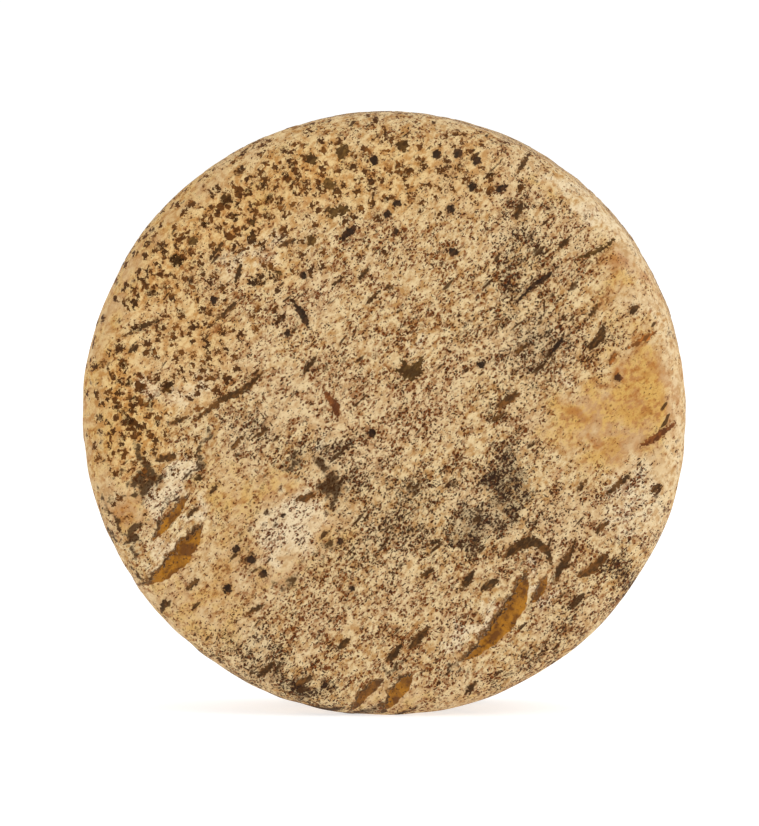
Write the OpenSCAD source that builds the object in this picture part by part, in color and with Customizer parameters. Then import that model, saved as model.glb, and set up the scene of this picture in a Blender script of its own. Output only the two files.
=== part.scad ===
// Round cake of shaving soap, standing on its rim, with the pieces that were stirred into the mix.
// The cake's axis lies along Y, its front face looks along -Y and it stands on z = 0 on a narrow worn flat.
// Places on a face are [x, v] in mm on a 70 mm cake, with v up from the cake's centre, and scale with it.

/* [Cake] */
// Diameter of the cake
cake_d = 70; // [60:1:90]
// Thickness of the cake, face to face
cake_t = 25; // [20:1:32]
// Radius of the rounded shoulder between each face and the rim
shoulder_r = 4; // [3:0.5:5]
// Width of the worn flat that the rim stands on, seen from the front
foot_w = 7; // [6.5:0.5:9]

/* [Inclusions] */
// How deep the amber soap shards reach under the face
shard_depth = 2.4; // [1.8:0.1:3]
// How far the top of a shard lies under the surface of the cake
shard_recess = 0.5; // [0.3:0.1:0.8]
// How deep the dark slivers reach
sliver_depth = 1.1; // [0.8:0.1:1.5]
// How deep the flakes reach
flake_depth = 0.7; // [0.5:0.1:1]
// How deep the coarse grains reach
grain_depth = 0.6; // [0.4:0.1:0.8]
// Spacing of the coarse grains
grain_pitch = 2.4; // [2.2:0.1:3]
// Radius of a coarse grain
grain_r = 0.42; // [0.3:0.02:0.5]
// Clear space kept round each coarse grain
grain_gap = 1.7; // [1.7:0.1:2.2]

/* [Hidden] */

k = cake_d / 70;
cake_r = cake_d / 2;
centre_z = sqrt(pow(cake_r, 2) - pow(foot_w / 2, 2));  // height of the cake's axis
face_y = cake_t / 2;
cut_past = 2;  // how far a cutter runs out past the face, so that no faces coincide
outline_steps = 9;  // points along each side of a sliver or shard
blunt = 0.7;  // how bluntly they end: 1 is sharp and 0 is square
keel_r = 4;  // radius of a shard's keel
wobble_from = 0.72;  // how uneven the outlines of grains and flakes are
wobble_to = 1.2;
cake_facets = 180;
shoulder_facets = 60;
keel_facets = 96;
seed_facets = 32;
seed_sunk = 0.2;  // share of a seed's diameter that its centre lies under the face
rim_sliver_len = 3;
back_spread = 1.4;  // how much wider apart the coarse grains of the back lie
grain_reach = [16, 31.5];  // coarse grains lie between these distances from the axis
grain_lean = 17;  // how far the crescent of coarse grains keeps up and to the left
grain_fade = 0.4;
grain_floor = -9;
grid_shake = 0.3;  // how far a grain strays from the grid, as a share of its pitch
back_reach = [12, 31.5];
back_lean = 12;
amber = [0.72, 0.46, 0.13];
bark = [0.24, 0.17, 0.13];
rust = [0.50, 0.27, 0.13];
olive = [0.34, 0.26, 0.15];
seed_black = [0.12, 0.11, 0.09];
coarse_brown = [0.36, 0.23, 0.13];
cream = [0.85, 0.77, 0.64];

// Spines of the amber shards, each with its width
shard_large = [[8.5, -28.6], [11, -26.9], [13.8, -24], [15.6, -21.3], [16.6, -17.6]];
shard_branch = [[17, -21.7], [18.1, -20.2], [19, -18.2]];
shard_left_upper = [[-27, -14.8], [-24.8, -12.2], [-22.2, -8.8]];
shard_left_lower = [[-28.4, -19.7], [-25.8, -18.5], [-23.4, -16.2], [-20.7, -12.2]];
shard_foot_left = [[0.2, -30.3], [-1.8, -31.6], [-4, -34.1]];
shard_foot_right = [[3.5, -29.7], [1.9, -31.4], [-0.1, -33.9]];
shard_back_upper = [[-14, 16], [-10.5, 19.5], [-5.5, 22.5]];
shard_back_lower = [[6, -14.5], [10.5, -11.5], [13.5, -7]];

// Spines of the twigs and the larger slivers
spine_forked = [[19.6, -19.4], [20.2, -18], [20.9, -16.8], [21.7, -15.7], [22.2, -14.2]];
spine_branch = [[20.5, -17.5], [21.8, -17]];
spine_arched = [[14, -16.3], [15.2, -15.3], [16.6, -14.4], [18, -14.6], [19.2, -15.8], [19.3, -17.2]];
spine_edge_low = [[22.4, -18.4], [23.7, -18], [24.9, -16.8], [26.1, -15.7]];
spine_edge_rust = [[29.5, -3.5], [32, -2], [33.8, -0.6]];
spine_foot_left = [[-14.5, -30.4], [-12.6, -28.5]];
spine_foot_right = [[3, -26.9], [4, -25.8], [5.3, -24.3]];
spine_long_left = [[-22, -0.6], [-20.3, 0.6], [-18.5, 2], [-16.8, 2.6], [-15, 3.9], [-13.8, 5.2]];
spine_long_right = [[15.2, 13], [17.5, 15.3], [18.8, 16.1], [20.3, 17.4]];
spine_curved = [[-10.2, 12.9], [-9.4, 12], [-8.6, 10.2]];
spine_black_top = [[-5, 20.3], [-3, 22]];
spine_olive_right = [[22.4, 18.2], [25.3, 19.3], [26.6, 20.4]];
spine_wedge_right = [[25.6, 10.8], [24.9, 9], [23.7, 7.7]];
spine_rust_centre = [[-6.9, 3], [-5.4, 1.2], [-5.3, 0]];
spine_black_right = [[19.4, 7.3], [20.8, 9.2]];
spine_soft_right = [[13.2, 1.2], [15.8, 2.7]];
spine_hump = [[-10, -9.7], [-7.7, -8.9]];
spine_left_low = [[-26.2, -5.1], [-23.8, -4.5]];

// The finer slivers of each quarter of the front face, as [start, end, width]
fine_upper_left = [
    [[-24.7, -1], [-22.5, -0.1], 0.5], [[-19.4, 10.8], [-16.4, 13.6], 0.4],
    [[-16.3, 17.6], [-17, 15.5], 0.4], [[-20, 18], [-18.5, 20], 0.4], [[-30, 9.2], [-26, 11.2], 0.5],
    [[-29.3, 7.3], [-28.1, 8.3], 0.5],
    [[-12, 19.6], [-10, 20.4], 0.5], [[-1.9, 13], [-0.4, 14.5], 0.4], [[-2.8, 15.8], [-1.6, 17.2], 0.4],
    [[-5.8, 15.1], [-4.6, 16], 0.3], [[-9.2, 4.9], [-7.7, 6.9], 0.5]
];
fine_upper_right = [
    [[15.3, 27.8], [16.9, 30.4], 0.4], [[15.3, 22.8], [16, 24.8], 0.7], [[20, 19.2], [21.6, 20.8], 0.5],
    [[23.7, 11.4], [24.8, 13], 0.4], [[28.4, 11.8], [29.4, 12.9], 0.6], [[15.2, 7.3], [16.6, 8.3], 0.5],
    [[12.4, -0.6], [14, 0.4], 0.3], [[26, 6], [26.9, 7.3], 0.5], [[28.3, 8], [31.5, 9.8], 0.5],
    [[0.2, 15], [1.2, 14.8], 0.4]
];
fine_lower_left = [
    [[-10, -31.1], [-8, -30], 0.6], [[-25.8, -23], [-25.2, -21.3], 0.5],
    [[-22.8, -20.2], [-21.3, -18.8], 0.5], [[-16, -23], [-13.6, -21.7], 0.4],
    [[-20.2, -9.2], [-18.9, -7.6], 0.3], [[-5.2, -27], [-3.8, -25.6], 0.7],
    [[-17.5, -3.8], [-16.2, -2.4], 0.4], [[-15, -2.5], [-13.2, -1.3], 0.3],
    [[-22.7, -11.7], [-21.4, -10.5], 0.5]
];
fine_lower_right = [
    [[25.8, -9], [28.6, -6.5], 0.5], [[22.4, -8.6], [23.4, -7.3], 0.4], [[24.5, -13.5], [26, -12], 0.4],
    [[30.9, -8.6], [32.2, -7.8], 0.6], [[11.4, -20], [13.3, -18.8], 0.7], [[9, -20], [10.6, -17.8], 0.7],
    [[4.3, -18.6], [5.8, -17.5], 0.5], [[5.1, -14.8], [6.5, -14.4], 0.3], [[0.5, -28.3], [2.2, -26.4], 0.8],
    [[9.5, -32.1], [10.7, -30.6], 0.5]
];
fine_back = [
    [[-20, -8], [-16.5, -5], 0.7], [[-6, -22], [-2.5, -19.5], 0.6], [[18, 3], [21.5, 6.5], 0.7],
    [[4, 24], [7, 26.5], 0.6], [[-24, 8], [-21, 10.5], 0.5], [[-9, 4], [-6, 6.5], 0.5],
    [[12, 14], [14, 16.5], 0.5], [[20, -16], [22.5, -13.5], 0.6], [[-15, -20], [-12.5, -18], 0.5],
    [[1.5, 9], [3.5, 11], 0.4], [[25, -3], [27, -1], 0.4], [[-28, -3], [-26, -1], 0.5]
];

// Seeds as [x, v, diameter]
seeds_front = [
    [1.6, 24.6, 0.8], [0.5, 23.3, 0.8], [7.8, 23.9, 0.9], [8.6, 30.3, 1], [10.8, 29.4, 0.9],
    [10.3, 26.5, 0.9], [6.2, 30.2, 1], [1.6, 21.3, 0.6], [-9.2, 16.3, 0.7], [-19.5, 13.4, 0.9],
    [-1, 29.6, 1], [11.3, 6, 0.9],
    [-11, 9.5, 0.8], [-11.6, -11.5, 0.6], [-18, -19.9, 1], [-17, -15.4, 0.9], [-15.2, -16.6, 1],
    [-13.8, -18.2, 0.9], [-4.9, -14.5, 0.7], [-3.6, -19.9, 0.5], [-1.3, -1.9, 0.9], [27.1, 4.5, 0.8]
];
seeds_rear = [
    [-2, 15, 0.9], [9, 7, 1], [-12, -9, 0.8], [16, 22, 1], [-19, 20, 0.9], [2, -26, 0.9], [24, -9, 0.8],
    [-26, 14, 0.8], [6, -5, 0.7], [-7, -14, 1], [14, -20, 0.9], [-21, -16, 0.8]
];

// Olive flakes as [x, v, radius]
flakes_front = [
    [-8.3, 20.3, 0.6], [-25, 3.3, 0.7], [-4.6, 30.5, 0.8], [-18, 25, 0.7], [-23.7, 18, 0.7],
    [-22, 20.2, 0.6], [-14.2, 15.7, 0.6], [-12.3, 16.4, 0.5], [-15, 22.4, 0.5], [-8.3, 29.6, 0.7],
    [-6.2, 26.8, 0.7], [-21.2, -7.2, 0.5]
];

// Small slivers that show on the rim, as [angle up from +X, y, width]
rim_slivers = [
    [12, -3, 0.6], [38, 4, 0.5], [61, -5, 0.7], [84, 2, 0.6], [107, -4, 0.5],
    [131, 5, 0.7], [152, -1, 0.6], [176, 3, 0.5], [201, -5, 0.6], [226, 1, 0.7],
    [249, 5, 0.5], [291, -3, 0.6], [316, 4, 0.7], [340, 0, 0.5]
];

// Outline of the star-shaped flake
star_outline = [
    [1.4, 5.3], [2.2, 5.9], [2, 6.6], [2.9, 6], [3.6, 6.2], [4.7, 7], [4.3, 5.8],
    [4.8, 5.2], [4, 4.7], [3.6, 4.1], [2.9, 4.4], [2.2, 4.2], [2.1, 4.9]
];

// Everything long and thin on the front face, which the coarse grains keep clear of
front_spines = concat(
    [shard_large, shard_branch, shard_left_upper, shard_left_lower, spine_long_left, spine_curved,
     spine_black_top, spine_rust_centre, spine_left_low, spine_long_right],
    [for (s = concat(fine_upper_left, fine_upper_right)) [s[0], s[1]]]
);
front_dots = concat(
    [for (s = concat(seeds_front, flakes_front)) [s.x, s.y]],
    [[13.6, 26.3], [8.1, 19], [2.3, 31.2], [-5.2, 23.7], [3, 5.2]]
);
back_spines = concat([shard_back_upper, shard_back_lower], [for (s = fine_back) [s[0], s[1]]]);
back_dots = [for (s = seeds_rear) [s.x, s.y]];

// The point at share t of the way along the line of points p
function along(p, t) =
    let (s = t * (len(p) - 1), i = min(floor(s), len(p) - 2))
    p[i] + (s - i) * (p[i + 1] - p[i]);

// The unit vector across the line of points p, at share t
function across(p, t) =
    let (d = along(p, min(t + 0.1, 1)) - along(p, max(t - 0.1, 0)))
    [-d.y, d.x] / norm(d);

// A leaf-shaped outline on the spine p, w wide and pointed at both ends. It is widest halfway along when
// lean is 1, nearer to the end when lean is less and nearer to the start when it is more.
function leaf(p, w, lean = 1) =
    let (n = outline_steps, half = [for (i = [0:n]) w / 2 * pow(sin(180 * pow(i / n, 1 / lean)), blunt)])
    k * concat(
        [p[0]],
        [for (i = [1:n - 1]) along(p, i / n) + half[i] * across(p, i / n)],
        [p[len(p) - 1]],
        [for (i = [n - 1:-1:1]) along(p, i / n) - half[i] * across(p, i / n)]
    );

// An uneven rounded outline of n corners about c, with its own seed
function blot(c, r, n, seed) =
    let (wobble = rands(wobble_from, wobble_to, n, seed))
    k * [for (i = [0:n - 1]) c + r * wobble[i] * [cos(360 * i / n), sin(360 * i / n)]];

// The distance from q to the line of points p, measured at a few places along it
function gap_to(q, p) = min([for (t = [0:0.125:1]) norm(q - along(p, t))]);

// Whether q is clear of every spine and dot, by at least gap
function is_clear(q, spines, dots, gap) =
    min([for (s = spines) gap_to(q, s)]) > gap && min([for (d = dots) norm(q - d)]) > gap;

// Points on a shaken square grid that lie inside the ring between r_in and r_out
function shaken_grid(pitch, r_in, r_out, seed) =
    let (n = ceil(r_out / pitch), shake = rands(-grid_shake, grid_shake, 2 * pow(2 * n + 1, 2), seed))
    [for (i = [-n:n], j = [-n:n])
        let (m = 2 * ((i + n) * (2 * n + 1) + j + n), q = pitch * [i + shake[m], j + shake[m + 1]])
        if (norm(q) > r_in && norm(q) < r_out) q];

// How far the surface of the shoulder has fallen back from the face, r mm out from the axis
function drop(r) =
    let (over = max(r - cake_r + shoulder_r, 0))
    shoulder_r - sqrt(pow(shoulder_r, 2) - pow(over, 2));

// A depth under the face that is still reached at the outermost of the points p
function reach(p, depth) = depth + drop(k * max([for (q = p) norm(q)]));

// The coarse grains fill a crescent of the front face, widest at the upper left
grains_on_front = [for (q = shaken_grid(grain_pitch, grain_reach[0], grain_reach[1], 11))
    if (q.y - q.x > grain_lean + grain_fade * max(q.x, 0) && q.y > grain_floor)
        if (is_clear(q, front_spines, front_dots, grain_gap)) q];
grains_on_back = [for (q = shaken_grid(back_spread * grain_pitch, back_reach[0], back_reach[1], 23))
    if (q.x + q.y > back_lean && is_clear(q, back_spines, back_dots, grain_gap)) q];

// With $cutting, each inclusion's module draws the pocket that it sits in
$cutting = false;

// The cake before anything was stirred in, with its surface moved inwards by inset
module blank(inset = 0) {
    r = cake_r - inset;
    h = face_y - inset;
    c = shoulder_r - inset;
    difference() {
        translate([0, 0, centre_z])
            rotate([90, 0, 0])
                rotate_extrude($fn = cake_facets) {
                    translate([0, c - h]) square([r, 2 * (h - c)]);
                    translate([0, -h]) square([r - c, 2 * h]);
                    for (s = [-1, 1])
                        translate([r - c, s * (h - c)])
                            intersection() {
                                circle(r = c, $fn = shoulder_facets);
                                translate([0, s > 0 ? 0 : -c]) square(c);
                            }
                }
        translate([-cake_r, -cake_t, inset - cake_r]) cube([cake_d, 2 * cake_t, cake_r]);
    }
}

// Turns a cutter that runs out past the surface into a piece that ends inset mm under it
module inlay(tint, inset = 0) {
    if ($cutting)
        children();
    else
        color(tint)
            intersection() {
                children();
                blank(inset);
            }
}

// Carries a shape from the front face over to the back face
module to_back() {
    mirror([0, 1, 0]) children();
}

// Sinks a flat outline into the front face, down to depth
module sunk(depth) {
    translate([0, depth - face_y, centre_z])
        rotate([90, 0, 0])
            linear_extrude(depth + cut_past)
                children();
}

// A dark sliver of bark with its flat side up
module sliver(spine, w, lean = 1) {
    sunk(reach(spine, sliver_depth)) polygon(leaf(spine, w, lean));
}

// A group of slivers, each given as [start, end, width]
module sliver_group(slivers) {
    for (s = slivers) sliver([s[0], s[1]], s[2]);
}

// A seed sunk a little under the face, so that its cut top shows
module seed(x, v, d) {
    translate([k * x, seed_sunk * d - face_y, centre_z + k * v]) sphere(d = d, $fn = seed_facets);
}

// A thin uneven flake
module flake(x, v, r, corners, turn) {
    sunk(reach([[x, v]], flake_depth)) polygon(blot([x, v], r, corners, turn));
}

// Coarse grains at the points given
module grains(points) {
    for (i = [0:len(points) - 1])
        sunk(reach([points[i]], grain_depth)) polygon(blot(points[i], grain_r, 6, i + 1));
}

// An amber shard: a leaf outline with a round keel along it
module shard(spine, w, lean = 1) {
    a = k * spine[0];
    d = k * spine[len(spine) - 1] - a;
    depth = reach(spine, shard_depth);
    intersection() {
        sunk(depth + 1) polygon(leaf(spine, w, lean));
        translate([a.x, depth - face_y - keel_r, centre_z + a.y])
            rotate([0, 90 - atan2(d.y, d.x), 0])
                translate([0, 0, -norm(d) / 2])
                    cylinder(r = keel_r, h = 2 * norm(d), $fn = keel_facets);
    }
}

module amber_shard_large() inlay(amber, shard_recess) shard(shard_large, 2.5, 0.75);
module amber_shard_branch() inlay(amber, shard_recess) shard(shard_branch, 1.1);
module amber_shard_left_upper() inlay(amber, shard_recess) shard(shard_left_upper, 1.15, 0.8);
module amber_shard_left_lower() inlay(amber, shard_recess) shard(shard_left_lower, 2.4, 0.62);
module amber_shard_foot_left() inlay(amber, shard_recess) shard(shard_foot_left, 1.2);
module amber_shard_foot_right() inlay(amber, shard_recess) shard(shard_foot_right, 1.8);
module amber_shard_back_upper() inlay(amber, shard_recess) to_back() shard(shard_back_upper, 2.2);
module amber_shard_back_lower() inlay(amber, shard_recess) to_back() shard(shard_back_lower, 2);

// A twig with one side branch
module twig_forked() {
    inlay(bark) {
        sliver(spine_forked, 0.7, 1.5);
        sliver(spine_branch, 0.35);
    }
}
module twig_arched() inlay(bark) sliver(spine_arched, 1, 1.5);
module twig_edge_low() inlay(bark) sliver(spine_edge_low, 0.9);
module twig_edge_rust() inlay(rust) sliver(spine_edge_rust, 0.6);
module twig_foot_left() inlay(bark) sliver(spine_foot_left, 0.7);
module twig_foot_right() inlay(bark) sliver(spine_foot_right, 0.8);

module sliver_long_left() inlay(bark) sliver(spine_long_left, 0.7);
module sliver_long_right() inlay(seed_black) sliver(spine_long_right, 0.45);
module sliver_curved() inlay(seed_black) sliver(spine_curved, 0.9);
module sliver_black_top() inlay(seed_black) sliver(spine_black_top, 0.8);
module sliver_olive_right() inlay(olive) sliver(spine_olive_right, 0.5);
module sliver_wedge_right() inlay(bark) sliver(spine_wedge_right, 0.9);
module sliver_rust_centre() inlay(rust) sliver(spine_rust_centre, 0.8);
module sliver_black_right() inlay(seed_black) sliver(spine_black_right, 0.5);
module sliver_soft_right() inlay(bark) sliver(spine_soft_right, 0.8);
module sliver_hump() inlay(bark) sliver(spine_hump, 0.7);
module sliver_left_low() inlay(bark) sliver(spine_left_low, 0.7);

module flake_star() inlay(olive) sunk(flake_depth) polygon(k * star_outline);
module flake_top() inlay(olive) flake(2.3, 31.2, 0.85, 8, 3);

// Two flakes grown together
module flake_twin() {
    inlay(olive) {
        flake(-5.8, 23.5, 0.7, 8, 5);
        flake(-4.7, 23.9, 0.75, 8, 6);
    }
}

module flakes_olive() {
    inlay(olive)
        for (i = [0:len(flakes_front) - 1])
            flake(flakes_front[i][0], flakes_front[i][1], flakes_front[i][2], 7, 20 + i);
}

module seed_black_right() inlay(seed_black) sliver([[13, 26], [14.3, 26.6]], 0.8);
module seed_black_upper() inlay(seed_black) seed(8.1, 19, 1);
module seeds_small() inlay(seed_black) for (s = seeds_front) seed(s[0], s[1], s[2]);

module slivers_upper_left() inlay(bark) sliver_group(fine_upper_left);
module slivers_upper_right() inlay(bark) sliver_group(fine_upper_right);
module slivers_lower_left() inlay(bark) sliver_group(fine_lower_left);
module slivers_lower_right() inlay(bark) sliver_group(fine_lower_right);

module grains_front() inlay(coarse_brown) grains(grains_on_front);
module grains_back() inlay(coarse_brown) to_back() grains(grains_on_back);
module slivers_back() inlay(bark) to_back() sliver_group(fine_back);
module seeds_back() inlay(seed_black) to_back() for (s = seeds_rear) seed(s[0], s[1], s[2]);

// Slivers sunk radially into the rim
module slivers_rim() {
    spine = [[-rim_sliver_len / 2, -0.6], [rim_sliver_len / 2, 0.6]];
    inlay(bark)
        for (s = rim_slivers)
            translate([0, s[1], centre_z])
                rotate([0, -s[0], 0])
                    translate([cake_r - sliver_depth, 0, 0])
                        rotate([0, 90, 0])
                            linear_extrude(sliver_depth + cut_past)
                                polygon(leaf(spine, s[2]));
}

// Every inclusion, in the order of NODES
module inclusions() {
    amber_shard_large();
    amber_shard_branch();
    amber_shard_left_upper();
    amber_shard_left_lower();
    amber_shard_foot_left();
    amber_shard_foot_right();
    amber_shard_back_upper();
    amber_shard_back_lower();
    twig_forked();
    twig_arched();
    twig_edge_low();
    twig_edge_rust();
    twig_foot_left();
    twig_foot_right();
    sliver_long_left();
    sliver_long_right();
    sliver_curved();
    sliver_black_top();
    sliver_olive_right();
    sliver_wedge_right();
    sliver_rust_centre();
    sliver_black_right();
    sliver_soft_right();
    sliver_hump();
    sliver_left_low();
    flake_star();
    flake_top();
    flake_twin();
    flakes_olive();
    seed_black_right();
    seed_black_upper();
    seeds_small();
    slivers_upper_left();
    slivers_upper_right();
    slivers_lower_left();
    slivers_lower_right();
    grains_front();
    grains_back();
    slivers_back();
    seeds_back();
    slivers_rim();
}

// The cake itself, with a pocket for each inclusion
module soap_cake() {
    color(cream)
        difference() {
            blank();
            inclusions($cutting = true);
        }
}

soap_cake();
amber_shard_large();
amber_shard_branch();
amber_shard_left_upper();
amber_shard_left_lower();
amber_shard_foot_left();
amber_shard_foot_right();
amber_shard_back_upper();
amber_shard_back_lower();
twig_forked();
twig_arched();
twig_edge_low();
twig_edge_rust();
twig_foot_left();
twig_foot_right();
sliver_long_left();
sliver_long_right();
sliver_curved();
sliver_black_top();
sliver_olive_right();
sliver_wedge_right();
sliver_rust_centre();
sliver_black_right();
sliver_soft_right();
sliver_hump();
sliver_left_low();
flake_star();
flake_top();
flake_twin();
flakes_olive();
seed_black_right();
seed_black_upper();
seeds_small();
slivers_upper_left();
slivers_upper_right();
slivers_lower_left();
slivers_lower_right();
grains_front();
grains_back();
slivers_back();
seeds_back();
slivers_rim();
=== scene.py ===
import math
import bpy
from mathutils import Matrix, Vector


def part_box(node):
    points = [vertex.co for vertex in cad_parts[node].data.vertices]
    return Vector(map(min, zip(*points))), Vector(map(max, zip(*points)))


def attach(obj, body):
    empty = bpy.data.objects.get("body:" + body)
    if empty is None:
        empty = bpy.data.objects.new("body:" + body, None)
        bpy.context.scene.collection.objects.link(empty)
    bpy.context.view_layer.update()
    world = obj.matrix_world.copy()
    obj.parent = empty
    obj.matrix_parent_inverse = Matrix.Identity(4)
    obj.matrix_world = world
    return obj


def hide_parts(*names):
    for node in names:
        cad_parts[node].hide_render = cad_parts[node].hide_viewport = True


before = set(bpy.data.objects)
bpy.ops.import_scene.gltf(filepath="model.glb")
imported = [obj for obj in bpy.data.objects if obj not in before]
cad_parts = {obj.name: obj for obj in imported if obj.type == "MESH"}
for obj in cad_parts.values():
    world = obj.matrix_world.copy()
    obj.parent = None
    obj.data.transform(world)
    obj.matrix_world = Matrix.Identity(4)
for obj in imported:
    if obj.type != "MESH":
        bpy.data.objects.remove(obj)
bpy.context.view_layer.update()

from types import SimpleNamespace

import bpy
import numpy as np
from mathutils import Vector

# --------------------
# The cake's size, from the CAD frame. Lengths in this script are in mm until a mesh is written.
# --------------------
MM = 0.001
BODY = "root"
CAKE_LO, CAKE_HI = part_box("soap_cake")
CAKE_R = (CAKE_HI.x - CAKE_LO.x) / 2 / MM
HALF_T = (CAKE_HI.y - CAKE_LO.y) / 2 / MM
AXIS_Z = CAKE_HI.z / MM - CAKE_R
SHOULDER_R = 4.0
FLAT_R = CAKE_R - SHOULDER_R
SHOULDER_END = FLAT_R + SHOULDER_R * math.pi / 2
MID_RIM = SHOULDER_END + HALF_T - SHOULDER_R
GRAIN_SLANT = math.radians(47)  # the mix is drawn out along this diagonal
TINY = 1e-9                     # keeps divisions finite


def smooth(x, lo, hi):
    """0 below lo, 1 above hi and a smooth ramp between them."""
    t = np.clip((x - lo) / (hi - lo), 0, 1)
    return t * t * (3 - 2 * t)


def wave(a, b, phase):
    """A smooth wandering of about a millimetre either way, for soft edges that aren't ellipses."""
    return (0.55 * np.sin(0.9 * a + 1.3 * b + phase) + 0.35 * np.sin(2.3 * b - 1.1 * a + 2 * phase)
            + 0.2 * np.sin(3.7 * a + 2.9 * b + 3 * phase))


def blob(x, v, spec):
    """A soft ellipse, half as strong near its edge. spec is (x, v, rx, rv, tilt in degrees, strength)."""
    cx, cv, rx, rv, tilt, strength = spec
    c, s = math.cos(math.radians(tilt)), math.sin(math.radians(tilt))
    a, b = (x - cx) * c + (v - cv) * s, (v - cv) * c - (x - cx) * s
    return strength * np.exp(-0.7 * ((a / rx) ** 2 + (b / rv) ** 2) ** 1.5)


def blobs(x, v, specs):
    """The strongest of several soft ellipses at each place."""
    out = np.zeros_like(x)
    for spec in specs:
        out = np.maximum(out, blob(x, v, spec))
    return out


def blobs_sum(x, v, specs):
    """The soft ellipses added up, so that a hollow can cut into a hump."""
    return sum(blob(x, v, spec) for spec in specs)


# --------------------
# The marbling, with painted highlight and painted shade among it: soft patches on the front face as (x,
# v, rx, rv, tilt, strength), v up from the axis
# --------------------
HAZE = [
    (15.4, 18, 3.0, 7.2, -8, 0.66), (17.6, 8.5, 4.6, 4.2, 40, 0.7), (14.3, -8.5, 3, 5.2, 0, 1.1),
    (3, -11.5, 8, 6.5, 20, 0.62), (10.5, -12.6, 3.6, 2.8, 40, 1.05), (-14.5, -1.5, 3.4, 3.4, 45, 0.6),
    (-7, -4, 4.5, 1.8, 10, 0.7), (-3.5, -7.5, 2.5, 3, 0, 0.6), (-14, -28.5, 7.5, 3, -35, 0.7),
    (-8.5, -32, 3.5, 1.8, -15, 1.0), (27, -17.2, 2.4, 1.8, 45, 0.7), (30.3, -16.4, 2, 1.6, 45, 0.8),
    (22, -23, 3.2, 2.2, 45, 0.6), (18, -27, 3.5, 1.2, 35, 0.6), (15.5, -30, 2.6, 1, 30, 0.7),
    (13, -5, 3, 2, 40, 0.5), (13, 1.5, 2.5, 2, 40, 0.5), (31, -8, 1.6, 2.5, 20, 0.35),
    (9.5, 10.5, 2.5, 1.5, 30, 0.45), (0.5, 29, 3, 2, 0, 0.25), (25, 9.5, 2.4, 2.4, 50, 0.45),
    (19, -12, 4, 4, 40, 0.5), (8, 27, 4, 3, 0, 0.45),
]
HONEY = [
    (30, 3, 4.4, 6, -5, 1.0), (24, 0, 5.4, 3.8, 20, 0.8), (27.5, -3.4, 5, 2.6, 20, 0.8),
    (31.5, -4, 2.5, 3, 0, 0.55), (33.4, 7.5, 1.8, 5, 0, 0.6), (26, 20, 2.2, 1.8, -45, 0.5),
    (18.6, 26.6, 2.2, 1.5, -30, 0.5), (-31.8, 12, 2, 4, -15, 0.6), (-29.6, 16, 2, 3, -30, 0.45),
    (-15.5, 24.5, 3, 2, 20, 0.4), (-32, -1, 2, 7, 5, 0.4), (-17.6, -9, 4, 4, 20, 0.5),
    (-21, -22, 6.5, 5.5, -45, 0.5), (-12, -8.0, 3, 1.8, 10, 0.6), (-7.2, -12.8, 1.8, 3, 0, 0.55),
    (-11.5, -18, 4.4, 2, 25, 0.5), (-29.4, -11.2, 3, 2.6, 20, 0.6), (-20, -4.5, 2, 1.6, 0, 0.4),
    (28, 16, 3, 5, -30, 0.58), (30.5, 10.5, 2.5, 3, 0, 0.5), (-18.5, -15.5, 5, 3.6, 30, 0.42),
    (2, -32.6, 6, 1.2, 0, 0.45), (-5.5, -14.5, 2.4, 1.4, 35, 0.4), (12.5, -32.3, 3.4, 0.9, 20, 0.4),
]
COARSE = [
    (-30, 1, 4, 8.5, 8, 1.05), (-27.5, -1, 3, 4.4, 0, 1.0), (-26, 18, 5, 8, -40, 0.9),
    (-17, 23, 7, 5, 30, 0.88), (-9, 27.5, 7, 4.5, 10, 0.85), (1, 28, 6, 4.5, 0, 0.7),
    (8, 28.5, 5, 4, -20, 0.6), (-22, 9, 5, 5, 0, 0.72), (-13, 17, 4, 2.5, 0, 0.5),
    (-23, 3, 4, 2.5, 0, 0.55),
]
# Pale cream: real pale veins, and painted highlight on the hump, on the ridges at the left and on the
# raised lips beside the amber shards
PALE_AND_HIGHLIGHT = [
    (-24.7, -8.3, 4.6, 1.5, 52, 1.0), (-21.6, -11.2, 2.6, 0.8, 52, 0.8),
    (-25.2, -15.4, 3.2, 1.3, 50, 0.8), (-9.6, -9.6, 2.4, 1.8, 30, 0.9),
    (-10.6, -12.6, 4.6, 3.2, 50, 1.0), (-12.4, -15.5, 2.4, 1.4, 30, 0.8),
    (11.4, -24, 3.4, 0.9, 50, 1.0), (17.3, -20, 0.6, 1.3, -25, 1.0), (17, -16.6, 1.3, 0.9, 45, 0.7),
    (19.3, -20.6, 1.1, 0.6, 45, 0.8), (24.2, 24.4, 3.2, 1.4, -42, 0.9),
    (19.2, 28.4, 1.8, 1.2, -35, 0.8), (-27.6, 3.5, 2, 1.6, 0, 0.7), (-22.5, 2.5, 3.6, 1.5, 35, 0.7),
    (-15, 18.5, 4.5, 2, 25, 0.6), (3.5, 8, 1.5, 0.9, 20, 0.7), (28.5, 13.5, 2.5, 2, 0, 0.5),
    (8.2, -25.6, 2, 0.7, 45, 0.9), (18.6, -21.4, 0.9, 0.7, 45, 0.8), (31, -11, 1.6, 3, 20, 0.5),
    (-7, -3.2, 1.2, 0.8, 0, 0.6), (33.6, 12, 1.2, 5, 12, 0.6), (29, -9, 3.6, 5, -20, 0.75),
    (-14.5, -25.5, 2, 2, 0, 0.35), (20.5, 4.8, 0.9, 1.6, 0, 0.6),
]
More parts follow.
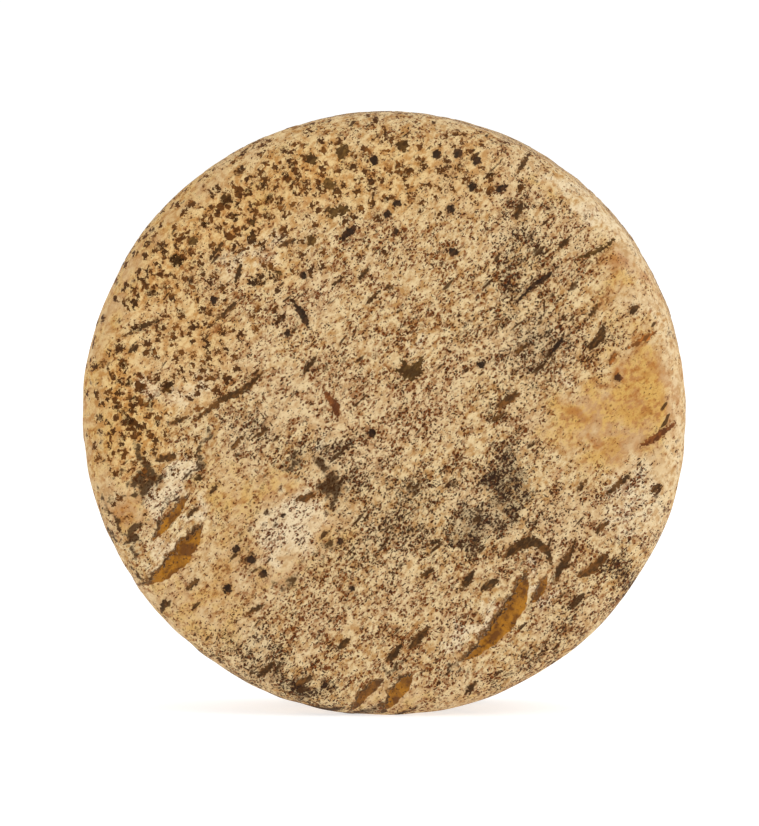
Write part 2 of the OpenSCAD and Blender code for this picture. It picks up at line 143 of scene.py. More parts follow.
RUST = [
    (27, 18.3, 2.4, 1, -20, 0.7), (25.2, 4, 1.2, 0.7, 0, 0.7), (27, 4.5, 0.9, 0.6, 20, 1.2),
    (24.6, -2.7, 1.4, 0.8, 20, 1.0), (22.6, 0.5, 1.6, 0.9, 0, 0.9), (20.2, -6.1, 1, 0.8, 0, 0.8),
    (33.2, 2.2, 0.8, 1.6, 10, 0.7), (29.8, -1.8, 0.4, 0.6, 0, 0.9), (27.3, -1.6, 0.4, 0.5, 0, 0.8),
    (28.4, 3.3, 0.5, 0.5, 0, 0.7), (22.6, -7.2, 0.8, 0.6, 30, 0.7), (-18, 9.4, 1.6, 1.1, 0, 0.6),
    (-30.4, -2.6, 1.2, 0.8, 30, 0.6), (-30.2, -11.6, 1.6, 1.2, 0, 0.8), (16, -6.7, 0.7, 0.6, 0, 0.7),
    (28.5, 1.2, 2.2, 1.4, 0, 0.4), (30.3, 5.2, 0.8, 0.5, -10, 0.7), (32.2, 7.9, 0.4, 1.1, 20, 0.8),
    (26.5, -3.3, 2.4, 1.1, 30, 0.5), (-6.7, -13, 1, 2, 0, 0.5), (30.2, 0.1, 0.3, 0.7, 0, 0.9),
    (-12.6, 25.5, 1.4, 0.8, 30, 0.4), (21.4, 2.1, 0.7, 0.3, -20, 0.8), (20, 4, 0.6, 0.7, 0, 0.7),
    (-26, 11.6, 1, 0.5, 25, 0.5), (29.2, 1.5, 0.5, 0.3, 20, 0.6), (25.8, 0.5, 0.9, 0.4, -20, 0.6),
    (-15.2, 28.5, 1.2, 0.6, 40, 0.5), (26.8, 18.6, 1.3, 1.5, 0, 0.85), (25.8, 13.6, 1.6, 0.8, 20, 0.65),
    (23, 22, 1.6, 0.6, 20, 0.55), (29.4, 8.6, 2.4, 0.6, 25, 0.8), (21, -11.5, 4, 5, 20, 0.5),
    (20, -23, 5, 6, 0, 0.32), (8, 26, 6, 4, 0, 0.45), (-18, -18, 6, 5, 0, 0.42), (24, 8, 3, 3, 0, 0.3),
    (-20, 12, 5, 1.2, 40, 0.35),
]
# Painted shade: dark patches in the hollows and round the hump, and a painted contact shadow along the
# foot
PAINTED_SHADE = [
    (-27.3, -7.4, 1.2, 1.5, 0, 1.0), (-27.8, -5, 0.6, 1.6, 8, 0.85), (-6.2, -7.4, 1.1, 2.6, 10, 1.0),
    (-7.6, -5.6, 1.2, 1.1, 0, 0.9), (-5.4, -10.5, 0.7, 1.3, 0, 0.7), (-8.8, -17, 0.5, 1.3, -35, 0.8),
    (-10.5, -18.6, 1.6, 0.6, 20, 0.55), (-20.6, -3.4, 0.4, 1.6, -12, 0.8),
    (-21.2, -5.4, 0.9, 0.5, 50, 0.7), (-29.3, -14.6, 2.4, 0.7, 55, 1.1),
    (-29.2, -9.5, 1.6, 0.4, 12, 1.0), (-6.3, -15.3, 1.8, 0.6, 30, 0.6),
    (-10.6, -5.4, 1.5, 0.7, 20, 0.6), (-11.4, -20, 0.8, 0.8, 0, 0.7), (8.6, -29.4, 1.3, 0.6, 30, 0.6),
    (-31.5, -11.5, 0.8, 1.7, 20, 0.5), (0.9, -29.4, 0.7, 1, 20, 0.5), (2.2, -29.6, 0.6, 0.9, 0, 0.6),
    (-13.5, -11.5, 0.5, 1.4, 20, 0.5), (-27.6, -20.6, 1.6, 0.4, 15, 0.6), (-0.5, -35.6, 9, 1.3, 0, 1.1),
    (-15.8, -16.6, 2.2, 0.7, -55, 0.38), (-12.6, -18.8, 2.4, 0.7, -20, 0.38),
    (-17.6, -13.4, 0.6, 1.6, 10, 0.35), (-26.2, -11.8, 3.4, 0.25, 52, 0.9),
    (-30.6, -12.6, 0.4, 2.4, 15, 0.9), (-22.6, -6.6, 2.6, 0.25, 52, 0.8),
    (-29.6, -17.2, 2.2, 0.4, 55, 0.9),
]
SWIRL = 2.3                  # degrees that the marbling turns for each mm into the cake
STRAY = 1.6                  # mm that it wanders sideways by
STRAY_DEPTH = 8              # how deep it has gone when it wanders that far
# painted highlight on the upper part of the shoulder: paler and freer of specks
RIM_HIGHLIGHT = 0.9              # how far the upper part of the shoulder is free of specks
RIM_FROM, RIM_TO = 31.6, 33.4    # distances from the axis over which that sets in


def strayed(x, v, depth):
    """Where a place at some depth has its marbling from, on the front face."""
    turn = np.radians(SWIRL * depth)
    away = STRAY * smooth(depth, 0, STRAY_DEPTH)
    a = x * np.cos(turn) - v * np.sin(turn) + away * np.sin(0.5 * depth + 0.2 * v)
    b = x * np.sin(turn) + v * np.cos(turn) + away * np.sin(0.6 * depth - 0.25 * x)
    return a + wave(a, b, 0.4), b + wave(b, a, 2.1)


def painted_rim_highlight(x, v):
    """The painted highlight on the upper part of the shoulder, as how free of specks it is. The very top
    is left speckled.
    """
    ring = smooth(np.hypot(x, v), RIM_FROM, RIM_TO)
    return RIM_HIGHLIGHT * ring * smooth(v, -20, -4) * (1 - 0.8 * smooth(v, 25, 31))


def marbling(points):
    """The strength of each kind of patch at 3D points, painted highlight and painted shade among them, as
    two (n, 4) colour arrays.
    """
    depth = points[:, 1] + HALF_T
    x0, v0 = points[:, 0], points[:, 2] - AXIS_Z
    x, v = strayed(x0, v0, depth)
    near = 1 - smooth(depth, 1.5, 7)          # marks that belong to the front skin only
    far = smooth(depth, 2 * HALF_T - 4, 2 * HALF_T - 0.5)
    # painted highlight on the upper shoulder: paler to the right, yellower to the left, with fewer specks
    rim = painted_rim_highlight(x0, v0) * near
    left = smooth(-x0, -2, 10)
    a = np.stack([
        blobs(x, v, HAZE),
        np.maximum(blobs(x, v, HONEY), 0.62 * rim * left),
        blobs(x, v, COARSE) * (1 - 0.7 * rim),
        rim,
    ], 1)
    b = np.stack([
        # pale colour that is partly painted highlight, together with the painted highlight of the upper
        # shoulder
        np.maximum(blobs(x, v, PALE_AND_HIGHLIGHT) * np.maximum(near, 0.6 * far), 0.6 * rim * (1 - 0.5 * left)),
        blobs(x, v, RUST),
        # painted shade, on the front skin only
        blobs(x, v, PAINTED_SHADE) * near,
        np.ones_like(x),
    ], 1)
    return a, b


# --------------------
# Outlines on the unrolled skin. A place (u, w) is a distance and direction from the middle of a
# face, measured over the shoulder and on along the rim.
# --------------------
def unroll(points, back):
    """Unrolled places of 3D points, and how deep each lies under the true surface."""
    x, v = points[..., 0], points[..., 2] - AXIS_Z
    depth = HALF_T - points[..., 1] if back else HALF_T + points[..., 1]
    r = np.hypot(x, v) + TINY
    over, under = np.maximum(r - FLAT_R, 0), np.maximum(SHOULDER_R - depth, 0)
    bent = FLAT_R + SHOULDER_R * np.arctan2(over, under + 1e-6) + np.maximum(depth - SHOULDER_R, 0)
    rho = np.where(r > FLAT_R, bent, r)
    on_shoulder = (over > 0) & (under > 0)
    buried = np.where(on_shoulder, SHOULDER_R - np.hypot(over, under), np.minimum(depth, CAKE_R - r))
    return np.stack([x / r * rho, v / r * rho], -1), buried


def islands(triangles, count):
    """A group number for each of count points: points joined by triangles share one."""
    group = np.arange(count)
    while True:
        low = group[triangles].min(1)
        new = group.copy()
        for k in range(3):
            np.minimum.at(new, triangles[:, k], low)
        new = new[new]
        if (new == group).all():
            return group
        group = new


TOP_SLACK = 0.12      # faces of a solid that lie this near to its highest are its top


def solids(node):
    """The top outline of each solid of a CAD node, as an (n, 2, 2) array of edge ends, and its face."""
    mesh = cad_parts[node].data
    mesh.calc_loop_triangles()
    co = np.array([v.co for v in mesh.vertices]) / MM
    triangles = np.array([t.vertices for t in mesh.loop_triangles])
    _, first, join = np.unique(np.round(co, 3), axis=0, return_index=True, return_inverse=True)
    where, triangles = co[first], join.ravel()[triangles]
    group = islands(triangles, len(where))
    found = []
    for g in np.unique(group):
        own = triangles[group[triangles[:, 0]] == g]
        back = bool(where[own, 1].mean() > 0)
        places, buried = unroll(where, back)
        shallow = buried < buried[own].min() + TOP_SLACK
        top = own[shallow[own].all(1)]
        sides = np.sort(np.concatenate([top[:, [0, 1]], top[:, [1, 2]], top[:, [2, 0]]]), 1)
        edges, times = np.unique(sides, axis=0, return_counts=True)
        found.append((places[edges[times == 1]], back))
    return found


def inside_by(u, w, ends):
    """How far places (u, w) lie inside an outline, negative outside it."""
    q = np.stack([u.ravel(), w.ravel()], -1)[:, None]
    a, b = ends[None, :, 0], ends[None, :, 1]
    ab = b - a
    t = np.clip(((q - a) * ab).sum(-1) / np.maximum((ab ** 2).sum(-1), 1e-12), 0, 1)
    gap = np.linalg.norm(q - a - t[..., None] * ab, axis=-1).min(1)
    straddles = (a[..., 1] > q[..., 1]) != (b[..., 1] > q[..., 1])
    rise = np.where(ab[..., 1] == 0, 1e-12, ab[..., 1])
    hits = straddles & (a[..., 0] + (q[..., 1] - a[..., 1]) * ab[..., 0] / rise > q[..., 0])
    return np.where(hits.sum(1) % 2 == 1, gap, -gap).reshape(u.shape)


RAGGED_R = (0.6, 1.3)     # how far a grain's corners lie out, as shares of its radius


def ragged(cx, cv, rx, rv, tilt, rng, corners=9):
    """The outline of an uneven rounded grain."""
    a = 2 * math.pi * np.arange(corners) / corners
    r = rng.uniform(*RAGGED_R, corners)
    p, q = rx * r * np.cos(a), rv * r * np.sin(a)
    c, s = math.cos(math.radians(tilt)), math.sin(math.radians(tilt))
    ring = np.stack([cx + p * c - q * s, cv + p * s + q * c], -1)
    return np.stack([ring, np.roll(ring, -1, axis=0)], 1)


# --------------------
# The chips: over each amber shard the cake's skin is broken away. The break runs down gently from
# the lower right, ends at a crumbly step at the upper left, and has a raised lip beyond that.
# --------------------
CHIP_FLOOR = 0.7      # how far the break runs down at most
CHIP_LIP = 0.06       # how high the lip beyond its step is
CHIP_STATIONS = 60    # places along a chip where its width is read
ZONE_REACH = 2        # distances from a chip's edges are stored up to this
WIDE_HALF = 1.25      # half the width of a shard whose crumbly edge is of full size


class Chip:
    """The break over one shard, from the shard's outline."""

    def __init__(self, ends, back, tone):
        self.ends, self.back, self.tone = ends, back, tone
        spread = ends.reshape(-1, 2) - ends.reshape(-1, 2).mean(0)
        self.along = np.linalg.svd(spread, full_matrices=False)[2][0]
        self.along *= np.sign(self.along.sum())
        self.across = np.array([-self.along[1], self.along[0]])
        local = np.stack([ends @ self.along, ends @ self.across], -1)
        lo, hi = local[..., 0].min(), local[..., 0].max()
        self.stations = np.linspace(lo + 0.01, hi - 0.01, CHIP_STATIONS)
        span = [self.span_at(local, s) for s in self.stations]
        self.mid = np.array([(a + b) / 2 for a, b in span])
        self.half = np.array([(b - a) / 2 for a, b in span])

    @staticmethod
    def span_at(local, at):
        """The lowest and highest offsets at which the outline crosses a line across the chip."""
        s, o = local[..., 0], local[..., 1]
        hit = (s.min(1) <= at) & (s.max(1) >= at) & (s[:, 0] != s[:, 1])
        t = (at - s[hit, 0]) / (s[hit, 1] - s[hit, 0])
        o = o[hit, 0] + t * (o[hit, 1] - o[hit, 0])
        return o.min(), o.max()

    def local(self, u, w):
        """Distances from the lower right edge and past the upper left one, half width and fullness."""
        s = u * self.along[0] + w * self.along[1]
        o = u * self.across[0] + w * self.across[1] - np.interp(s, self.stations, self.mid)
        half = np.interp(s, self.stations, self.half, left=0.0, right=0.0)
        beyond = np.maximum(self.stations[0] - s, s - self.stations[-1])
        full = smooth(half, 0.1, 0.7) * (1 - smooth(beyond, -0.3, 0.3))
        low_wave = 0.08 * np.sin(2.4 * s + 1.0) + 0.05 * np.sin(5.9 * s + 2.0)
        high_wave = 0.13 * np.sin(2.6 * s + 0.5) + 0.08 * np.sin(6.1 * s)
        return o + half + low_wave * full, o - half + high_wave * full, half, full

    def height(self, u, w):
        """Height of the broken skin over the whole one, in mm."""
        low, high, half, full = self.local(u, w)
        foot = np.minimum(CHIP_FLOOR, 0.5 * half)
        floor = foot * smooth(low / np.maximum(2 * half, 0.1), 0.0, 0.8) * (1 - smooth(high, -0.6, 0.15))
        return full * (CHIP_LIP * np.exp(-((high - 0.6) / 0.5) ** 2) - floor)

    def zones(self, u, w):
        """Distances inside the lower right and the upper left edge, and how brown the amber is."""
        low, high, _, _ = self.local(u, w)
        narrow = max(1, WIDE_HALF / self.half.max())
        edges = [np.clip(d, -ZONE_REACH, ZONE_REACH) for d in (low, -high * narrow)]
        return np.stack([*edges, self.darkness(u, w)], -1)

    def darkness(self, u, w):
        """Browner towards both ends."""
        _, _, half, _ = self.local(u, w)
        return np.clip(self.tone + 0.7 * (1 - smooth(half / self.half.max(), 0.25, 0.75)), 0, 1)


SHARD_TONES = {       # from clear amber, 0, to brown, 1
    "amber_shard_large": 0.0, "amber_shard_branch": 0.5,
    "amber_shard_left_upper": 0.1, "amber_shard_left_lower": 0.0,
    "amber_shard_foot_left": 0.75, "amber_shard_foot_right": 0.2,
    "amber_shard_back_upper": 0.1, "amber_shard_back_lower": 0.25,
}
CHIPS = {node: Chip(*solids(node)[0], tone) for node, tone in SHARD_TONES.items()}


# --------------------
# The skin itself
# --------------------
RELIEF = [
    # x, v, rx, rv, tilt, height in mm: the hump, and the hollows and ridges about it
    (-10, -11.5, 4.6, 4, 0, 0.38), (-9.4, -9.4, 2, 1.4, 30, 0.2), (-11.5, -14.5, 2.6, 1.8, 30, 0.2),
    (-5.9, -9, 1.0, 2.8, 0, -0.55), (-8, -6.4, 1.2, 1.2, 0, -0.45), (-8.8, -17.2, 2.2, 0.8, 40, -0.36),
    (-10.2, -9.2, 1.4, 0.5, 35, -0.3), (-9.2, -12.6, 1.6, 0.35, 50, -0.16),
    (-12, -12.4, 1.5, 0.35, 50, -0.16), (-27.3, -7.3, 1.5, 1.6, 0, -0.6),
    (-27.9, -4.9, 0.8, 1.8, 8, -0.35), (-24.7, -8.4, 4.2, 1.3, 52, 0.3),
    (-23.6, -9.2, 3.2, 0.3, 50, -0.22), (-20.7, -3.4, 0.6, 2, -12, -0.35),
    (-21.6, -5, 0.9, 0.9, 0, 0.2), (-29, -15.2, 2.6, 0.7, 50, -0.4), (-25.4, -14.6, 2.6, 1, 50, 0.26),
    (11, -24.2, 3.4, 0.8, 50, 0.22), (17.3, -20, 0.6, 1.2, -25, 0.14), (-29, -9.6, 1.8, 0.5, 12, -0.2),
    (25, 9, 0.8, 1.8, -30, -0.2), (17.3, -16.6, 1.4, 0.9, 45, 0.14), (30, 3, 6, 7, 0, -0.1),
    (2, 5.2, 2.4, 1.6, 0, -0.1), (-18.4, 1.4, 5.4, 0.5, 36, -0.2), (-17.6, 11.6, 2.6, 0.45, 45, -0.18),
    (-13.6, 16, 3, 0.8, 25, -0.16), (-22, 8.5, 4, 1.2, 35, 0.14), (-16, 7, 4, 1.4, 40, 0.14),
    (-24.4, -1.4, 3, 0.6, 30, -0.16), (17.6, 15, 4.6, 0.5, 42, -0.2), (20, 11, 4, 1, 45, 0.12),
    (24.5, 19.2, 3, 0.5, 28, -0.14), (24, 24, 3.4, 1, -45, 0.12), (20.9, -16.8, 2.6, 0.8, 60, -0.14),
    (15.8, -15.1, 2.2, 0.8, 38, -0.18), (24.3, -17.3, 2.6, 0.8, 37, -0.16),
    (9.8, -19.2, 1.8, 0.5, 48, -0.2), (1.4, -27.3, 1.6, 0.5, 50, -0.24), (4, -25.7, 2, 0.5, 48, -0.24),
    (-13.6, -29.6, 1.8, 0.6, 45, -0.26), (-9, -30.4, 1.6, 0.5, 25, -0.26), (6, -31.2, 5, 0.7, 10, 0.16),
    (-12, 4, 2.6, 0.6, 45, -0.12), (-3, 14.4, 3, 0.6, 45, -0.12),
]
RIPPLES = [
    # wave vector per mm (x, y, v), phase and height in mm: the slow unevenness of a hand-trimmed cake
    ((0.31, 0.12, 0.22), 0.4, 0.045), ((-0.18, 0.25, 0.41), 1.9, 0.035),
    ((0.62, 0.3, -0.47), 4.1, 0.018), ((0.95, 0.6, 0.8), 2.2, 0.008), ((1.3, 0.7, -1.24), 1.1, 0.022),
    ((-0.86, 0.5, 0.98), 3.0, 0.03),
]
HIGHEST = 0.32        # the relief is cut off above this
SET_BACK = 0.04       # the whole skin lies this far in, to leave room for its ripples
RELIEF_DEPTH = (0.8, 4.5)     # how far into the cake the front's relief fades out


def relief(base):
    """Height of the skin over the true surface, in mm, at points on it."""
    x, y, v = base[..., 0], base[..., 1], base[..., 2] - AXIS_Z
    h = blobs_sum(x, v, RELIEF) * (1 - smooth(y + HALF_T, *RELIEF_DEPTH))
    for (kx, ky, kv), phase, height in RIPPLES:
        h = h + height * np.sin(kx * x + ky * y + kv * v + phase)
    return h - SET_BACK


def skin(u, w, back, lift=0.0):
    """3D points at unrolled places (u, w), lift mm over the skin. back picks the face."""
    rho = np.hypot(u, w) + TINY
    over = np.clip(rho - FLAT_R, 0, SHOULDER_R * math.pi / 2) / SHOULDER_R
    r = np.minimum(rho, FLAT_R) + SHOULDER_R * np.sin(over)
    depth = SHOULDER_R * (1 - np.cos(over)) + np.maximum(rho - SHOULDER_END, 0)
    side = -1 if back else 1
    base = np.stack([u / rho * r, side * (depth - HALF_T), AXIS_Z + w / rho * r], -1)
    normal = np.stack([u / rho * np.sin(over), -side * np.cos(over), w / rho * np.sin(over)], -1)
    height = relief(base)
    for chip in CHIPS.values():
        if chip.back == back:
            height = height + chip.height(u, w)
    out = base + normal * (np.minimum(height, HIGHEST) + lift)[..., None]
    out[..., 2] = np.maximum(out[..., 2], 0)     # the worn flat that the cake stands on
    return out


# --------------------
# Meshes
# --------------------
def finish_mesh(name, points, faces):
    """An object from points in mm, smooth shaded, with the marbling and the painted light and shade of
    each place stored on it.
    """
    mesh = bpy.data.meshes.new(name)
    mesh.from_pydata((points * MM).tolist(), [], faces.tolist())
    a, b = marbling(points)
    for label, values in (("marbling_and_light_a", a), ("marbling_and_light_b", b)):
        mesh.attributes.new(label, "FLOAT_COLOR", "POINT").data.foreach_set("color", values.ravel())
    mesh.polygons.foreach_set("use_smooth", [True] * len(mesh.polygons))
    obj = bpy.data.objects.new(name, mesh)
    bpy.context.scene.collection.objects.link(obj)
    return obj


def quads_of(grid):
    """The values at the four corners of each cell of a grid."""
    return np.stack([grid[:-1, :-1], grid[1:, :-1], grid[1:, 1:], grid[:-1, 1:]], -1)


class Pile:
    """Collects thin closed shells that follow the skin, and makes one object of them."""

    def __init__(self):
        self.points, self.faces, self.marks, self.count = [], [], [], 0

    def add(self, top, bottom, cells, marks, flip):
        """Closes the space between two (rows, cols, 3) sheets where cells is true."""
        rows, cols = top.shape[:2]
        n = rows * cols
        index = np.arange(n).reshape(rows, cols)
        quads = quads_of(index)[cells]
        sides = np.concatenate([quads[:, [k, (k + 1) % 4]] for k in range(4)])
        keys, mirrored = sides[:, 0] * n + sides[:, 1], sides[:, 1] * n + sides[:, 0]
        rim = sides[~np.isin(keys, mirrored)]
        walls = np.stack([rim[:, 1], rim[:, 0], rim[:, 0] + n, rim[:, 1] + n], -1)
        faces = np.concatenate([quads, quads[:, ::-1] + n, walls])
        if flip:
            faces = faces[:, ::-1]
        used, compact = np.unique(faces, return_inverse=True)
        marks = marks.reshape(n, -1)
        self.points.append(np.concatenate([top.reshape(-1, 3), bottom.reshape(-1, 3)])[used])
        self.marks.append(np.concatenate([marks, marks])[used])
        self.faces.append(compact.reshape(-1, 4) + self.count)
        self.count += len(used)

    def patch(self, ends, back, depth, skirt, cell, marks, others=()):
        """A shell over an outline and its skirt, clear of the other outlines given.

        marks(u, w, inset) gives what is stored at each point."""
        lo, hi = ends.min((0, 1)) - skirt - cell, ends.max((0, 1)) + skirt + 2 * cell
        u, w = np.meshgrid(np.arange(lo[0], hi[0], cell), np.arange(lo[1], hi[1], cell), indexing="ij")
        inset = inside_by(u, w, ends)
        near = inset > -skirt
        for other in others:
            near &= inside_by(u, w, other) < -cell
        cells = quads_of(near).all(-1)
        if cells.any():
            self.add(skin(u, w, back, LIFT), skin(u, w, back, -depth), cells, marks(u, w, inset), back)

    def build(self, name, labels):
        """The finished object. labels names the stored marks, each with its width of 1 or 3."""
        obj = finish_mesh(name, np.concatenate(self.points), np.concatenate(self.faces))
        marks, at = np.concatenate(self.marks), 0
        for label, width in labels:
            part = marks[:, at:at + width]
            at += width
            if width == 1:
                obj.data.attributes.new(label, "FLOAT", "POINT").data.foreach_set("value", part.ravel())
            else:
                four = np.concatenate([part, np.ones((len(part), 1))], 1)
                stored = obj.data.attributes.new(label, "FLOAT_COLOR", "POINT")
                stored.data.foreach_set("color", four.ravel())
        return obj


def install(obj, node, material):
    """Gives a piece its material and puts it in the place of its CAD node."""
    obj.name = node + "_detailed"
    obj.data.materials.append(material)
    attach(obj, BODY)
    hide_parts(node)


# --------------------
# The cake
# --------------------
GRID_HALF = 108       # cells from the middle of a face to the middle of the rim
PIT_DEPTH = 0.5       # how far the cake's own mesh keeps under a shard's finer one
PIT_REACH = 0.35      # and how far past the shard's outline it does so


def cake_mesh():
    """A closed skin: two square sheets bent to discs, which meet at the middle of the rim."""
    n = GRID_HALF
    a, b = np.meshgrid(np.arange(-n, n + 1) / n, np.arange(-n, n + 1) / n, indexing="ij")
    wide = np.abs(a) > np.abs(b)
    r = np.where(wide, a, b)
    share = np.where(wide, b, a) / np.where(r == 0, 1, r)
    angle = np.where(wide, math.pi / 4 * share, math.pi / 2 - math.pi / 4 * share)
    u, w = MID_RIM * r * np.cos(angle), MID_RIM * r * np.sin(angle)
    sheets = []
    for back in (False, True):
        lift = np.zeros_like(u)
        for chip in CHIPS.values():
            if chip.back == back:
                lift[inside_by(u, w, chip.ends) > -PIT_REACH] = -PIT_DEPTH
        sheets.append(skin(u, w, back, lift).reshape(-1, 3))
    index = np.arange(u.size).reshape(u.shape)
    rear = index + u.size
    edge = (np.abs(a) == 1) | (np.abs(b) == 1)
    rear[edge] = index[edge]
    front_faces, rear_faces = quads_of(index), quads_of(rear)[..., [0, 3, 2, 1]]
    faces = np.concatenate([front_faces.reshape(-1, 4), rear_faces.reshape(-1, 4)])
    used, compact = np.unique(faces, return_inverse=True)
    return finish_mesh("soap_cake", np.concatenate(sheets)[used], compact.reshape(-1, 4))


# --------------------
# Shader graphs
# --------------------
def linear(c):
    """Linear light from a 0-255 display value."""
    return c / 255 / 12.92 if c <= 10 else ((c / 255 + 0.055) / 1.055) ** 2.4


def srgb(r, g, b):
    """Linear RGBA from 0-255 display values."""
    return linear(r), linear(g), linear(b), 1.0


class Graph:
    """Short names for the nodes of one tree."""

    def __init__(self, tree):
        self.tree, self.links = tree, tree.links

    def node(self, kind, **inputs):
        n = self.tree.nodes.new(kind)
        for key, value in inputs.items():
            self.plug(n.inputs[key.replace("_", " ")], value)
        return n

    def plug(self, socket, value):
        if isinstance(value, bpy.types.NodeSocket):
            self.links.new(value, socket)
        else:
            socket.default_value = value

    def math(self, op, a, b=0.0):
        n = self.tree.nodes.new("ShaderNodeMath")
        n.operation = op
        self.plug(n.inputs[0], a)
        self.plug(n.inputs[1], b)
        return n.outputs[0]

    def add(self, *terms):
        out = terms[0]
        for t in terms[1:]:
            out = self.math("ADD", out, t)
        return out

    def mul(self, *terms):
        out = terms[0]
        for t in terms[1:]:
            out = self.math("MULTIPLY", out, t)
        return out

    def most(self, *terms):
        """The largest of the terms."""
        out = terms[0]
        for t in terms[1:]:
            out = self.math("MAXIMUM", out, t)
        return out

    def step(self, x, lo, hi, out_lo=0.0, out_hi=1.0):
        """A smooth ramp from out_lo where x is lo to out_hi where it is hi."""
        n = self.tree.nodes.new("ShaderNodeMapRange")
        n.interpolation_type = "SMOOTHSTEP"
        sockets = ("Value", "From Min", "From Max", "To Min", "To Max")
        for socket, value in zip(sockets, (x, lo, hi, out_lo, out_hi)):
            self.plug(n.inputs[socket], value)
        return n.outputs[0]

    def over(self, x, threshold, soft):
        """1 where x passes a threshold that may itself vary."""
        return self.step(self.math("SUBTRACT", x, threshold), -soft, soft)

    def mix(self, fac, a, b, mode="MIX"):
        n = self.tree.nodes.new("ShaderNodeMix")
        n.data_type, n.blend_type = "RGBA", mode
        n.clamp_factor = True
        self.plug(n.inputs[0], fac)
        self.plug(n.inputs[6], a)
        self.plug(n.inputs[7], b)
        return n.outputs[2]

    def noise(self, vector, scale, detail=2.0, rough=0.5, distort=0.0):
        n = self.node("ShaderNodeTexNoise", Vector=vector, Scale=scale, Detail=detail)
        self.plug(n.inputs["Roughness"], rough)
        self.plug(n.inputs["Distortion"], distort)
        return n.outputs["Fac"]

    def warp(self, vector, scale, amount):
        """A vector pushed about by noise, so that what it draws isn't round."""
        n = self.node("ShaderNodeTexNoise", Vector=vector, Scale=scale, Detail=1.0)
        push = self.tree.nodes.new("ShaderNodeVectorMath")
        push.operation = "MULTIPLY_ADD"
        self.plug(push.inputs[0], n.outputs["Color"])
        push.inputs[1].default_value = (amount, amount, amount)
        self.plug(push.inputs[2], vector)
        return push.outputs[0]

    def dots(self, vector, scale, size, soft=0.07, spread=0.35):
        """Scattered dots, and a random number for each. size is in cells and may vary."""
        n = self.node("ShaderNodeTexVoronoi", Vector=vector, Scale=scale)
        chance = self.split(n.outputs["Color"])[0]
        reach = self.add(size, self.mul(self.centred(chance), spread))
        return self.over(reach, n.outputs["Distance"], soft), chance

    def attribute(self, name):
        n = self.tree.nodes.new("ShaderNodeAttribute")
        n.attribute_name = name
        return n

    def split(self, colour):
        n = self.node("ShaderNodeSeparateColor", Color=colour)
        return n.outputs[0], n.outputs[1], n.outputs[2]

    def centred(self, x):
        return self.math("SUBTRACT", x, 0.5)

    def vector(self, op, vector, x, y, z):
        n = self.tree.nodes.new("ShaderNodeVectorMath")
        n.operation = op
        self.plug(n.inputs[0], vector)
        n.inputs[1].default_value = (x, y, z)
        return n.outputs[0]

    def shift(self, vector, x, y, z):
        return self.vector("ADD", vector, x, y, z)

    def stretch(self, vector, x, y, z):
        return self.vector("MULTIPLY", vector, x, y, z)


def places(g):
    """Positions in mm: straight ones, and ones turned so that x runs along the diagonal of the mix."""
    obj = g.node("ShaderNodeTexCoord").outputs["Object"]
    mm = g.tree.nodes.new("ShaderNodeVectorMath")
    mm.operation = "SCALE"
    g.plug(mm.inputs[0], obj)
    mm.inputs["Scale"].default_value = 1 / MM
    turn = g.tree.nodes.new("ShaderNodeVectorRotate")
    turn.rotation_type = "Y_AXIS"
    g.plug(turn.inputs["Vector"], mm.outputs[0])
    turn.inputs["Angle"].default_value = GRAIN_SLANT
    return mm.outputs[0], turn.outputs[0]


def soap_fields(g):
    """What the soap's layers share: places, slow variation, and the strength of each kind of marbling and
    of painted light and shade.
    """
    mm, turned = places(g)
    drawn = g.stretch(turned, 0.74, 0.9, 1.0)
    marbling_and_light_a = g.attribute("marbling_and_light_a")
    haze, honey, coarse = g.split(marbling_and_light_a.outputs["Color"])
    # of the second: pale colour that is partly painted highlight, rust stain, and painted shade
    pale, rust, painted_shade = g.split(g.attribute("marbling_and_light_b").outputs["Color"])
    return SimpleNamespace(
        mm=mm, drawn=drawn, streak=g.stretch(turned, 0.3, 0.8, 1.2), bent=g.warp(drawn, 2.4, 0.55),
        clump=g.centred(g.noise(g.shift(drawn, 7.3, 1.1, 4.2), 0.55, 3.0, 0.6)),
        cloud=g.centred(g.noise(g.shift(drawn, 31.0, 5.0, 12.0), 1.3, 3.0, 0.62)),
        # clear is the painted highlight of the upper shoulder, which keeps specks off it
        haze=haze, honey=honey, coarse=coarse, clear=marbling_and_light_a.outputs["Alpha"],
        pale=pale, rust=rust, painted_shade=painted_shade,
    )


